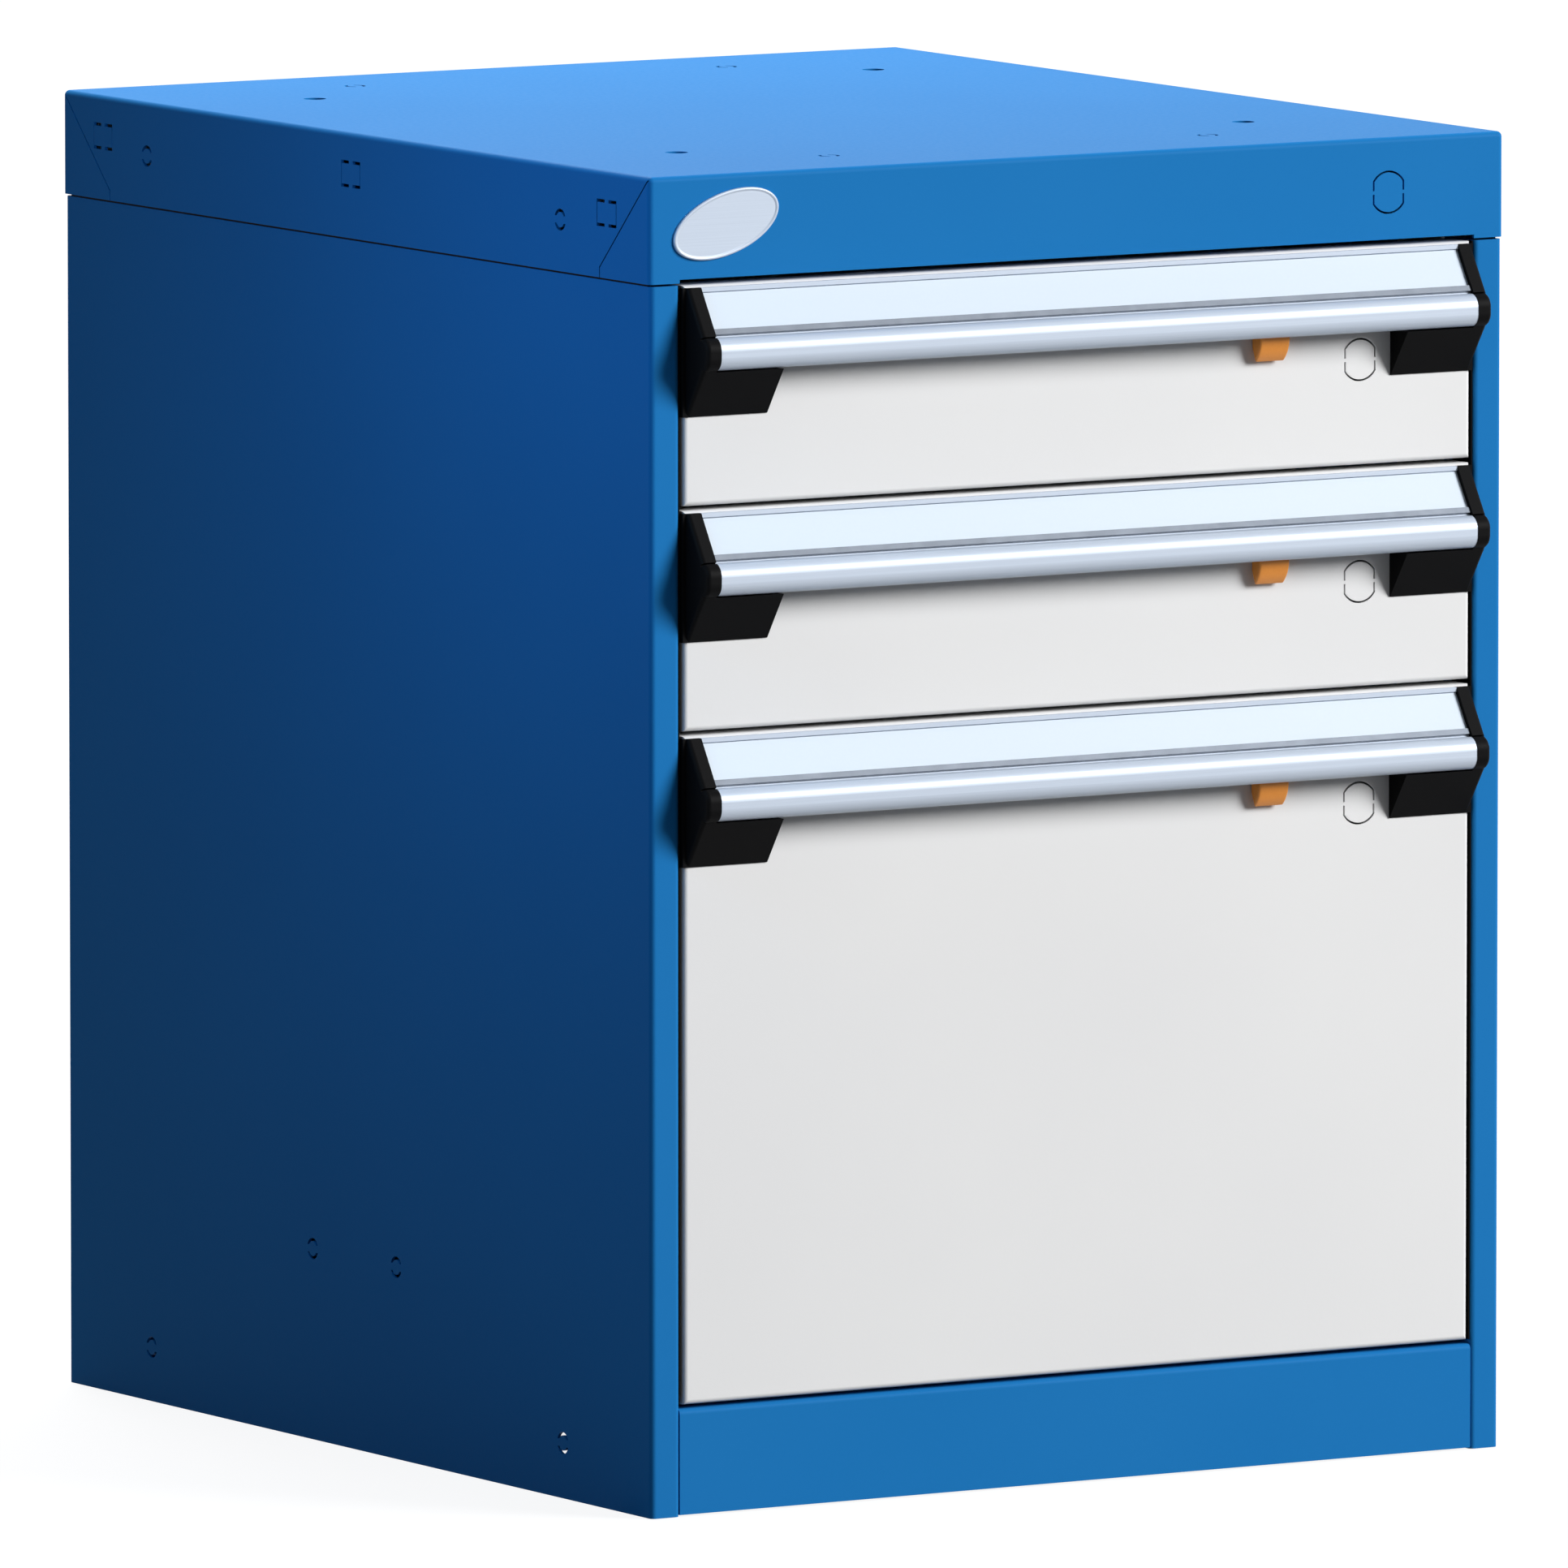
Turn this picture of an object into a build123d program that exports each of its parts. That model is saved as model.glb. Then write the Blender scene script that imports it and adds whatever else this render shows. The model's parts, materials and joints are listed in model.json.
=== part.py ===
from build123d import *
import math
import os

# Modular drawer cabinet: X to the right, front faces -Y, Z up from the floor, millimetres.

# Housing
CABINET_WIDTH = 457.2
CABINET_DEPTH = 533.4
CABINET_HEIGHT = 609.6
SHEET = 1.5
BEND = 2.5  # outside radius of the housing's folds
CUT = 6.0  # depth of a cut that passes one sheet

# Top cap
CAP_SKIRT = 48.6
CAP_OVERHANG = 0.8  # cap stands this far outside the sides and the back
CAP_SEAM = 1.0
CAP_LIFT = 1.7  # front and rear skirts are this much shorter between the posts
CAP_RETURN = 14.0
MITRE_RUN = 44.0  # front and rear skirts wrap this far round onto the sides
MITRE_START = 1.5  # the seam begins this far from the cap's corner
MITRE_SLIT = 0.7
TOP_HOLE = 10.5
TOP_HOLE_FROM_SIDE = 76.2
TOP_HOLE_FROM_END = 103.2
TOP_KNOCKOUT_FROM_SIDE = 127.0
TOP_KNOCKOUT_FROM_END = 53.35

# Posts, base, back and uprights
POST_WIDTH = 15.9
POST_RETURN = 25.0
BASE_HEIGHT = 49.0
BASE_GROUND_GAP = 0.7
BASE_SETBACK = 0.4
BACK_FLANGE = 20.0
UPRIGHT_WIDTH = 40.0
UPRIGHT_GAP = 2.0  # behind the post's return
UPRIGHT_SLOT_WIDTH = 5.0
UPRIGHT_SLOT_HEIGHT = 12.0
SLOTS_PER_UNIT = 4

# Knock-outs: plugs held by small bridges in a slit
ROUND_KNOCKOUT = 10.0
SQUARE_KNOCKOUT_Y = 17.3
SQUARE_KNOCKOUT_Z = 12.4
KNOCKOUT_SLIT = 1.5
KNOCKOUT_BRIDGE = 3.4
KNOCKOUT_HAIRLINE = 0.5
CAP_ROUND_DROP = 25.1
CAP_SQUARE_DROP = 19.1
CAP_SQUARE_FROM_END = 37.7
SIDE_KNOCKOUT_FROM_END = 78.7
LOW_KNOCKOUT_Z = 25.4
HIGH_KNOCKOUT_Z = 89.0
HIGH_KNOCKOUT_PITCH = 76.2
LOCK_WIDTH = 17.0
LOCK_HEIGHT = 20.0
LOCK_SLIT = 0.9
LOCK_BRIDGE = 1.6
CAP_LOCK_FROM_SIDE = 62.6
CAP_LOCK_DROP = 25.2
DRAWER_LOCK_FROM_SIDE = 77.9
DRAWER_LOCK_DROP = 51.6

# Drawers, from the floor up, with their heights in units
DRAWERS = {"bottom": 3, "middle": 1, "top": 1}
FRONT_GAP = 2.2  # between two drawer fronts
BOTTOM_GAP = 2.0
TOP_GAP = 2.9
SIDE_GAP = 1.95
FRONT_SHEET = 1.2
FRONT_BEND = 2.2
FRONT_DEPTH = 16.0
FRONT_RETURN = 32.0  # folded in at both sides, where the tray is bolted on
TRAY_SHEET = 1.2
TRAY_LIFT = 6.0  # tray floor above the front's lower edge
TRAY_DROP = 14.0  # tray rim below the front's upper edge
TRAY_REAR_GAP = 40.0
TRAY_RIM = 7.0
TRAY_SEAM = 0.1  # welded seams between floor, sides and ends
DRAWER_TRAVEL = 457.0

# Slides: cabinet rail, carriage and runner stand side by side
RAIL_SHEET = 1.5
RAIL_BEND = 2.0
RAIL_FRONT_GAP = 6.0
RAIL_REAR_GAP = 2.0
RAIL_FROM_TRAY = 2.0
ROLLER_DIAMETER = 22.0
ROLLER_WIDTH = 6.0
ROLLER_CLEARANCE = 0.3
ROLLER_SIDE_CLEARANCE = 0.6
AXLE_DIAMETER = 8.0
AXLE_CLEARANCE = 0.1
AXLE_END_GAP = 0.3
CARRIAGE_SHEET = 2.0
CARRIAGE_HEIGHT = 20.0
CARRIAGE_CLEARANCE = 0.8
CARRIAGE_END_GAP = 2.5
ROLLER_FROM_END = 18.0
GLIDE_LENGTH = 30.0
GLIDE_ROUND = 4.0
GLIDE_MARGIN = 12.0
HOOK_REACH = 3.5
HOOK_CLEARANCE = 0.3

# Handle, measured out from the drawer front and down from its upper edge
HANDLE_INSET = 0.8
HANDLE_TOP_DROP = 1.0
HANDLE_TOP_OUT = 2.1
HANDLE_FACE_DROP = 22.0
HANDLE_FACE_OUT = 15.3
GRIP_OUT = 13.7
GRIP_DROP = 30.2
GRIP_WIDTH = 12.6
GRIP_HEIGHT = 15.6
BAR_WALL = 2.0
FACE_INSET = 1.2  # bar's slanted face below the end caps' face
GRIP_INSET = 0.3  # bar's grip inside the end caps' round
BAR_MOUTH_DROP = 27.5  # below this the grip is open at the back, for fingers
LIP_TOP = 1.6
LIP_FOOT = 2.0
GROOVE = 1.6
LABEL_DEPTH = 1.4
LABEL_THICKNESS = 0.7
LABEL_CLEARANCE = 0.2
END_CAP_THICKNESS = 7.3
END_CAP_ROUND = 2.0
CAP_NOTCH = 0.8  # between the end cap's face and its round
CAP_NOTCH_DEPTH = 2.4
GUARD_REACH = 0.8  # lip of the end cap round the front's edge
GUARD_SHEET = 0.7
GUARD_DEPTH = 3.5
GUARD_CLEARANCE = 0.1
WEDGE_WIDTH = 42.9
WEDGE_GAP = 0.3  # below the grip
WEDGE_TOP_OUT = 15.2
WEDGE_FOOT_OUT = 0.6
WEDGE_DROP = 59.5

# Latch: a tab below the grip slides towards the cabinet's middle
LATCH_FROM_SIDE = 129.1
LATCH_TRAVEL = 8.0
LATCH_CLEARANCE = 0.4
TAB_WIDTH = 16.0
TAB_REACH = 8.8
TAB_GAP = 0.8
TAB_TOP_DROP = 29.0
TAB_BEND_DROP = 38.0
TAB_HEEL_DROP = 43.0
TAB_TIP_DROP = 49.4
TAB_TIP_OUT = 3.6
TAB_ROUND = 1.0
STEM_WIDTH = 11.0
STEM_HEIGHT = 4.0
STEM_DROP = 33.5
PAD_WIDTH = 22.0
PAD_HEIGHT = 11.0
PAD_THICKNESS = 2.6
BOLT_HEIGHT = 9.0
BOLT_THICKNESS = 3.0
BOLT_BEVEL = 2.0
GUIDE_WIDTH = 12.0
GUIDE_SHEET = 1.2
GUIDE_PITCH = 60.0
GUIDE_FROM_TIP = 18.0
SPRING_LENGTH = 18.0
SPRING_STRIP = 0.5
SPRING_FOLDS = 6
SPRING_CLEARANCE = 0.1
SPRING_MARGIN = 1.5  # folds stay this far inside the bolt's height

handle_reach = GRIP_OUT + GRIP_WIDTH / 2
half_width = CABINET_WIDTH / 2
front_y = (handle_reach - CABINET_DEPTH) / 2
rear_y = front_y + CABINET_DEPTH
mid_y = (front_y + rear_y) / 2
cap_bottom = CABINET_HEIGHT - CAP_SKIRT
cap_underside = CABINET_HEIGHT - SHEET
panel_top = cap_bottom - CAP_SEAM
panel_outer = half_width - CAP_OVERHANG
panel_rear = rear_y - CAP_OVERHANG
wall_inner = panel_outer - SHEET
post_inner = half_width - POST_WIDTH
front_half = post_inner - SIDE_GAP
side_knockout_pitch = CABINET_DEPTH - 2 * SIDE_KNOCKOUT_FROM_END
total_units = sum(DRAWERS.values())
fronts_bottom = BASE_HEIGHT + BOTTOM_GAP
fronts_top = cap_bottom + CAP_LIFT - TOP_GAP
unit = (fronts_top - fronts_bottom + FRONT_GAP) / total_units

# Across the slide, from the post inwards
rail_web = post_inner - RAIL_SHEET
outer_roller_x = rail_web - ROLLER_SIDE_CLEARANCE - ROLLER_WIDTH / 2
plate_outer = outer_roller_x - ROLLER_WIDTH / 2 - ROLLER_SIDE_CLEARANCE
plate_inner = plate_outer - CARRIAGE_SHEET
inner_roller_x = plate_inner - ROLLER_SIDE_CLEARANCE - ROLLER_WIDTH / 2
runner_web = inner_roller_x - ROLLER_WIDTH / 2 - ROLLER_SIDE_CLEARANCE
tray_half = runner_web - RAIL_SHEET
channel_height = ROLLER_DIAMETER + 2 * ROLLER_CLEARANCE
rail_height = channel_height + 2 * RAIL_SHEET
rail_rise = TRAY_LIFT + RAIL_FROM_TRAY + rail_height / 2  # above the front's lower edge

# Along the slide
tray_front = front_y + FRONT_DEPTH
tray_rear = panel_rear - SHEET - TRAY_REAR_GAP
rail_front = tray_front + RAIL_FRONT_GAP
rail_rear = panel_rear - BACK_FLANGE - RAIL_REAR_GAP
carriage_front = rail_front + CARRIAGE_END_GAP
carriage_rear = rail_rear - RAIL_SHEET - CARRIAGE_END_GAP
front_roller_y = carriage_front + ROLLER_FROM_END
rear_roller_y = carriage_rear - ROLLER_FROM_END
outer_glide_y = rail_front + DRAWER_TRAVEL / 2 + GLIDE_LENGTH / 2 + GLIDE_MARGIN
inner_glide_y = tray_rear - DRAWER_TRAVEL / 2 - GLIDE_LENGTH / 2 - GLIDE_MARGIN
upright_front = front_y + POST_RETURN + UPRIGHT_GAP + UPRIGHT_WIDTH / 2
upright_rear = panel_rear - POST_RETURN - UPRIGHT_GAP - UPRIGHT_WIDTH / 2

# Handle's slanted face, and the latch behind the drawer front
face_run = HANDLE_FACE_OUT - HANDLE_TOP_OUT
face_fall = HANDLE_FACE_DROP - HANDLE_TOP_DROP
face_tilt = math.degrees(math.atan2(face_run, face_fall))
face_length = math.hypot(face_run, face_fall)
label_floor = FACE_INSET + LABEL_DEPTH
foot_lip = face_length - GROOVE - LIP_FOOT
handle_half = front_half - HANDLE_INSET
bar_half = handle_half - END_CAP_THICKNESS
wedge_top_drop = GRIP_DROP + GRIP_HEIGHT / 2 + WEDGE_GAP
latch_x = half_width - LATCH_FROM_SIDE
pad_front = FRONT_SHEET + LATCH_CLEARANCE
pad_back = pad_front + PAD_THICKNESS
bolt_back = pad_back + BOLT_THICKNESS
bolt_y = front_y + (pad_back + bolt_back) / 2
bolt_start = latch_x - PAD_WIDTH / 2
passage_depth = BOLT_THICKNESS + 2 * LATCH_CLEARANCE
passage_height = BOLT_HEIGHT + 2 * LATCH_CLEARANCE


def save(builder, label):
    builder.part.label = label
    export_step(builder.part, f"parts/{label}.step")


def handle_plane(x, z_top):
    """Plane across the handle: first axis out of the drawer front, second down."""
    return Plane(origin=(x, front_y, z_top), x_dir=(0, -1, 0), z_dir=(1, 0, 0))


def front_plane(y):
    """Elevation at depth y: first axis +X, second +Z, normal towards the viewer."""
    return Plane.XZ.offset(-y)


with BuildSketch() as round_knockout:
    Circle(ROUND_KNOCKOUT / 2)
    Circle(ROUND_KNOCKOUT / 2 - KNOCKOUT_SLIT, mode=Mode.SUBTRACT)
    Rectangle(ROUND_KNOCKOUT, KNOCKOUT_BRIDGE, mode=Mode.SUBTRACT)

with BuildSketch() as square_knockout:
    Rectangle(SQUARE_KNOCKOUT_Y, SQUARE_KNOCKOUT_Z)
    Rectangle(
        SQUARE_KNOCKOUT_Y - 2 * KNOCKOUT_HAIRLINE,
        SQUARE_KNOCKOUT_Z - 2 * KNOCKOUT_SLIT,
        mode=Mode.SUBTRACT,
    )
    Rectangle(KNOCKOUT_BRIDGE, SQUARE_KNOCKOUT_Z, mode=Mode.SUBTRACT)

with BuildSketch() as lock_knockout:
    Circle(LOCK_HEIGHT / 2)
    Rectangle(LOCK_WIDTH, LOCK_HEIGHT, mode=Mode.INTERSECT)
    offset(amount=-LOCK_SLIT, mode=Mode.SUBTRACT)
    Rectangle(LOCK_WIDTH, LOCK_BRIDGE, mode=Mode.SUBTRACT)


def build_top_cap():
    round_z = CABINET_HEIGHT - CAP_ROUND_DROP
    square_z = CABINET_HEIGHT - CAP_SQUARE_DROP
    lock_point = (half_width - CAP_LOCK_FROM_SIDE, CABINET_HEIGHT - CAP_LOCK_DROP)
    square_pitch = CABINET_DEPTH / 2 - CAP_SQUARE_FROM_END
    hole_x = CABINET_WIDTH - 2 * TOP_HOLE_FROM_SIDE
    hole_y = CABINET_DEPTH - 2 * TOP_HOLE_FROM_END
    knockout_x = CABINET_WIDTH - 2 * TOP_KNOCKOUT_FROM_SIDE
    knockout_y = CABINET_DEPTH - 2 * TOP_KNOCKOUT_FROM_END
    mitre_length = (MITRE_RUN - MITRE_START) * math.sqrt(2)
    mitre_middle = (MITRE_RUN + MITRE_START) / 2
    mitre_foot = CAP_SKIRT - MITRE_RUN
    with BuildPart() as top_cap:
        with BuildSketch(Plane.XY.offset(cap_bottom)):
            with Locations((0, mid_y)):
                RectangleRounded(CABINET_WIDTH, CABINET_DEPTH, BEND)
        extrude(amount=CAP_SKIRT)
        fillet(top_cap.faces().sort_by(Axis.Z)[-1].edges(), BEND)
        offset(amount=-SHEET, openings=top_cap.faces().sort_by(Axis.Z)[0])
        for skirt_y, inward in ((front_y, 1), (rear_y, -1)):
            with Locations((0, skirt_y, cap_bottom + CAP_LIFT / 2)):
                Box(2 * post_inner, CUT, CAP_LIFT, mode=Mode.SUBTRACT)
            return_y = skirt_y + inward * (SHEET / 2 + CAP_RETURN) / 2
            with Locations((0, return_y, cap_bottom + CAP_LIFT + SHEET / 2)):
                Box(2 * post_inner, CAP_RETURN - SHEET / 2, SHEET)
        for side in (-1, 1):
            with BuildSketch(Plane.YZ.offset(side * half_width)):
                with Locations((mid_y, round_z)):
                    with GridLocations(side_knockout_pitch, 1, 2, 1):
                        add(round_knockout.sketch)
                with Locations((mid_y, square_z)):
                    with GridLocations(square_pitch, 1, 3, 1):
                        add(square_knockout.sketch)
                for skirt_y, inward in ((front_y, 1), (rear_y, -1)):
                    with Locations((skirt_y + inward * mitre_middle, CABINET_HEIGHT - mitre_middle)):
                        Rectangle(mitre_length, MITRE_SLIT, rotation=-inward * 45)
                    with Locations((skirt_y + inward * MITRE_RUN, cap_bottom + mitre_foot / 2)):
                        Rectangle(MITRE_SLIT, mitre_foot + MITRE_SLIT)
            extrude(amount=-side * CUT / 2, mode=Mode.SUBTRACT)
        with BuildSketch(Plane.XY.offset(CABINET_HEIGHT)):
            with Locations((0, mid_y)):
                with GridLocations(hole_x, hole_y, 2, 2):
                    Circle(TOP_HOLE / 2)
                with GridLocations(knockout_x, knockout_y, 2, 2):
                    add(round_knockout.sketch, rotation=90)
        extrude(amount=-CUT / 2, mode=Mode.SUBTRACT)
        with BuildSketch(front_plane(front_y)):
            with Locations(lock_point):
                add(lock_knockout.sketch)
        extrude(amount=-CUT / 2, mode=Mode.SUBTRACT)
    save(top_cap, "top_cap")


def build_side_panel(label, side, strike_heights):
    depth = panel_rear - front_y
    width = panel_outer - post_inner
    centre_x = side * (panel_outer + post_inner) / 2
    centre_y = front_y + depth / 2
    with BuildPart() as panel:
        with BuildSketch() as section:
            with Locations((centre_x, centre_y)):
                Rectangle(width, depth)
            fillet(section.vertices(), BEND)
            offset(amount=-SHEET, mode=Mode.SUBTRACT)
            with Locations((side * post_inner, centre_y)):
                Rectangle(2 * SHEET, depth - 2 * POST_RETURN, mode=Mode.SUBTRACT)
        extrude(amount=panel_top)
        with BuildSketch():
            with Locations((centre_x, centre_y)):
                Rectangle(width - SHEET, depth - SHEET)
        extrude(amount=SHEET)
        with BuildSketch(Plane.YZ.offset(side * panel_outer)):
            with Locations((mid_y, LOW_KNOCKOUT_Z)):
                with GridLocations(side_knockout_pitch, 1, 2, 1):
                    add(round_knockout.sketch)
            with Locations((mid_y, HIGH_KNOCKOUT_Z)):
                with GridLocations(HIGH_KNOCKOUT_PITCH, 1, 2, 1):
                    add(round_knockout.sketch)
        extrude(amount=-side * CUT / 2, mode=Mode.SUBTRACT)
        for strike_z in strike_heights:
            with Locations((side * post_inner, bolt_y, strike_z)):
                Box(CUT, passage_depth, passage_height, mode=Mode.SUBTRACT)
    save(panel, label)


def build_back_panel():
    with BuildPart() as back_panel:
        with BuildSketch(Plane.XY.offset(BASE_HEIGHT)) as section:
            with Locations((0, panel_rear - BACK_FLANGE / 2)):
                Rectangle(2 * post_inner, BACK_FLANGE)
            fillet(section.vertices().group_by(Axis.Y)[-1], BEND)
            with Locations((0, panel_rear - SHEET - BACK_FLANGE / 2)):
                Rectangle(2 * rail_web, BACK_FLANGE, mode=Mode.SUBTRACT)
        extrude(amount=panel_top - BASE_HEIGHT)
    save(back_panel, "back_panel")


def build_base_pan():
    apron_y = front_y + BASE_SETBACK
    depth = panel_rear - apron_y
    ear_depth = panel_rear - front_y - 2 * POST_RETURN - UPRIGHT_GAP
    with BuildPart() as base_pan:
        with BuildSketch(Plane.YZ) as section:
            with Locations((apron_y + depth / 2, (BASE_HEIGHT + BASE_GROUND_GAP) / 2)):
                Rectangle(depth, BASE_HEIGHT - BASE_GROUND_GAP)
            fillet(section.vertices().group_by(Axis.Y)[-1], BEND)
            with Locations((apron_y + depth / 2, BASE_HEIGHT / 2 - SHEET)):
                Rectangle(depth - 2 * SHEET, BASE_HEIGHT, mode=Mode.SUBTRACT)
        extrude(amount=post_inner, both=True)
        with Locations((0, (front_y + panel_rear) / 2, BASE_HEIGHT - SHEET / 2)):
            Box(2 * wall_inner, ear_depth, SHEET)
    save(base_pan, "base_pan")


def build_upright(label, side, upright_y):
    reach = wall_inner - post_inner
    pitch = unit / SLOTS_PER_UNIT
    slots = round(total_units * SLOTS_PER_UNIT)
    slots_mid_z = fronts_bottom + rail_rise + (slots - 1) * pitch / 2
    with BuildPart() as upright:
        with BuildSketch(Plane.XY.offset(BASE_HEIGHT)) as section:
            with Locations((side * (post_inner + reach / 2), upright_y)):
                Rectangle(reach, UPRIGHT_WIDTH)
            fillet(section.vertices().sort_by(lambda corner: abs(corner.X))[:2], BEND)
            with Locations((side * (post_inner + SHEET + reach / 2), upright_y)):
                Rectangle(reach, UPRIGHT_WIDTH - 2 * SHEET, mode=Mode.SUBTRACT)
        extrude(amount=cap_underside - BASE_HEIGHT)
        with BuildSketch(Plane.YZ.offset(side * post_inner)):
            with Locations((upright_y, slots_mid_z)):
                with GridLocations(1, pitch, 1, slots):
                    Rectangle(UPRIGHT_SLOT_WIDTH, UPRIGHT_SLOT_HEIGHT)
        extrude(amount=side * CUT / 2, mode=Mode.SUBTRACT)
    save(upright, label)


def draw_channel(section, web_face, mouth, z):
    """C section whose back is at web_face and whose flanges end at mouth."""
    towards_mouth = math.copysign(RAIL_SHEET, mouth - web_face)
    with Locations(((web_face + mouth) / 2, z)):
        Rectangle(abs(mouth - web_face), rail_height)
    fillet(section.vertices().sort_by(lambda corner: abs(corner.X - web_face))[:2], RAIL_BEND)
    with Locations(((web_face + mouth) / 2 + towards_mouth, z)):
        Rectangle(abs(mouth - web_face), channel_height, mode=Mode.SUBTRACT)


def build_rails(label, z):
    mouth = plate_outer + CARRIAGE_CLEARANCE
    hook_width = UPRIGHT_SLOT_WIDTH - 2 * HOOK_CLEARANCE
    hook_height = UPRIGHT_SLOT_HEIGHT - 2 * HOOK_CLEARANCE
    with BuildPart() as rails:
        with BuildSketch(front_plane(rail_front)) as section:
            draw_channel(section, post_inner, mouth, z)
        extrude(amount=rail_front - rail_rear)
        with Locations(((mouth + rail_web) / 2, rail_rear - RAIL_SHEET / 2, z)):
            Box(rail_web - mouth, RAIL_SHEET, channel_height)
        for upright_y in (upright_front, upright_rear):
            with Locations((post_inner + (HOOK_REACH - RAIL_SHEET) / 2, upright_y, z)):
                Box(HOOK_REACH + RAIL_SHEET, hook_width, hook_height)
        mirror(about=Plane.YZ)
    save(rails, label)


def build_runners(label, z):
    with BuildPart() as runners:
        with BuildSketch(front_plane(tray_front)) as section:
            draw_channel(section, tray_half, plate_inner - CARRIAGE_CLEARANCE, z)
        extrude(amount=tray_front - tray_rear)
        mirror(about=Plane.YZ)
    save(runners, label)


def build_carriages(label, z):
    axle_length = CARRIAGE_SHEET + ROLLER_WIDTH + 2 * ROLLER_SIDE_CLEARANCE - AXLE_END_GAP
    with BuildPart() as carriages:
        with Locations(((plate_inner + plate_outer) / 2, (carriage_front + carriage_rear) / 2, z)):
            Box(CARRIAGE_SHEET, carriage_rear - carriage_front, CARRIAGE_HEIGHT)
        with Locations(
            (plate_outer - axle_length / 2, front_roller_y, z),
            (plate_inner + axle_length / 2, rear_roller_y, z),
        ):
            Cylinder(AXLE_DIAMETER / 2, axle_length, rotation=(0, 90, 0))
        mirror(about=Plane.YZ)
    save(carriages, label)


def build_glides(label, z):
    thickness = ROLLER_WIDTH + ROLLER_SIDE_CLEARANCE
    with BuildPart() as glides:
        for face_x, glide_y, outward in (
            (plate_outer, outer_glide_y, 1),
            (plate_inner, inner_glide_y, -1),
        ):
            with BuildSketch(Plane.YZ.offset(face_x)):
                with Locations((glide_y, z)):
                    RectangleRounded(GLIDE_LENGTH, ROLLER_DIAMETER, GLIDE_ROUND)
            extrude(amount=outward * thickness)
        mirror(about=Plane.YZ)
    save(glides, label)


def build_rollers(label, x, y, z):
    with BuildPart() as rollers:
        with BuildSketch(Plane.YZ.offset(x)):
            with Locations((y, z)):
                Circle(ROLLER_DIAMETER / 2)
                Circle(AXLE_DIAMETER / 2 + AXLE_CLEARANCE, mode=Mode.SUBTRACT)
        extrude(amount=ROLLER_WIDTH / 2, both=True)
        mirror(about=Plane.YZ)
    save(rollers, label)


def build_drawer_front(label, z_bottom, z_top):
    slot_length = STEM_WIDTH + LATCH_TRAVEL + 2 * LATCH_CLEARANCE
    slot_height = STEM_HEIGHT + 2 * LATCH_CLEARANCE
    with BuildPart() as front:
        with BuildSketch(front_plane(front_y)):
            with Locations((0, (z_bottom + z_top) / 2)):
                Rectangle(2 * front_half, z_top - z_bottom)
        extrude(amount=-FRONT_DEPTH)
        fillet(front.faces().sort_by(Axis.Y)[0].edges(), FRONT_BEND)
        offset(amount=-FRONT_SHEET, openings=front.faces().sort_by(Axis.Y)[-1])
        for side in (-1, 1):
            return_x = side * (front_half - FRONT_RETURN / 2)
            with Locations((return_x, tray_front - FRONT_SHEET / 2, (z_bottom + z_top) / 2)):
                Box(FRONT_RETURN, FRONT_SHEET, z_top - z_bottom)
        with BuildSketch(front_plane(front_y)):
            with Locations((half_width - DRAWER_LOCK_FROM_SIDE, z_top - DRAWER_LOCK_DROP)):
                add(lock_knockout.sketch)
            with Locations((latch_x - LATCH_TRAVEL / 2, z_top - STEM_DROP)):
                Rectangle(slot_length, slot_height)
        extrude(amount=-CUT / 2, mode=Mode.SUBTRACT)
        with Locations((front_half, bolt_y, z_top - STEM_DROP)):
            Box(CUT, passage_depth, passage_height, mode=Mode.SUBTRACT)
    save(front, label)


def build_tray(label, z_bottom, z_top):
    floor = z_bottom + TRAY_LIFT
    rim = z_top - TRAY_DROP
    middle = (floor + rim) / 2
    centre_y = (tray_front + tray_rear) / 2
    depth = tray_rear - tray_front
    between_sides = 2 * (tray_half - TRAY_SHEET - TRAY_SEAM)
    between_ends = depth - 2 * (TRAY_SHEET + TRAY_SEAM)
    with BuildPart() as tray:
        for side in (-1, 1):
            with Locations((side * (tray_half - TRAY_SHEET / 2), centre_y, middle)):
                Box(TRAY_SHEET, depth, rim - floor)
            rim_x = side * (tray_half + (TRAY_RIM - TRAY_SHEET) / 2)
            with Locations((rim_x, centre_y, rim - TRAY_SHEET / 2)):
                Box(TRAY_RIM + TRAY_SHEET, depth, TRAY_SHEET)
        for end_y in (tray_front + TRAY_SHEET / 2, tray_rear - TRAY_SHEET / 2):
            with Locations((0, end_y, middle)):
                Box(between_sides, TRAY_SHEET, rim - floor)
        with Locations((0, centre_y, floor + TRAY_SHEET / 2)):
            Box(between_sides, between_ends, TRAY_SHEET)
    save(tray, label)


def strip(inner, outer, start, end, mode=Mode.ADD):
    """Bar on the handle's slanted face: depths below the face, then distances down it."""
    slant = Location((HANDLE_TOP_OUT, HANDLE_TOP_DROP, 0), (0, 0, -face_tilt))
    with Locations(slant):
        with Locations((-(inner + outer) / 2, (start + end) / 2)):
            Rectangle(inner - outer, end - start, mode=mode)


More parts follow.
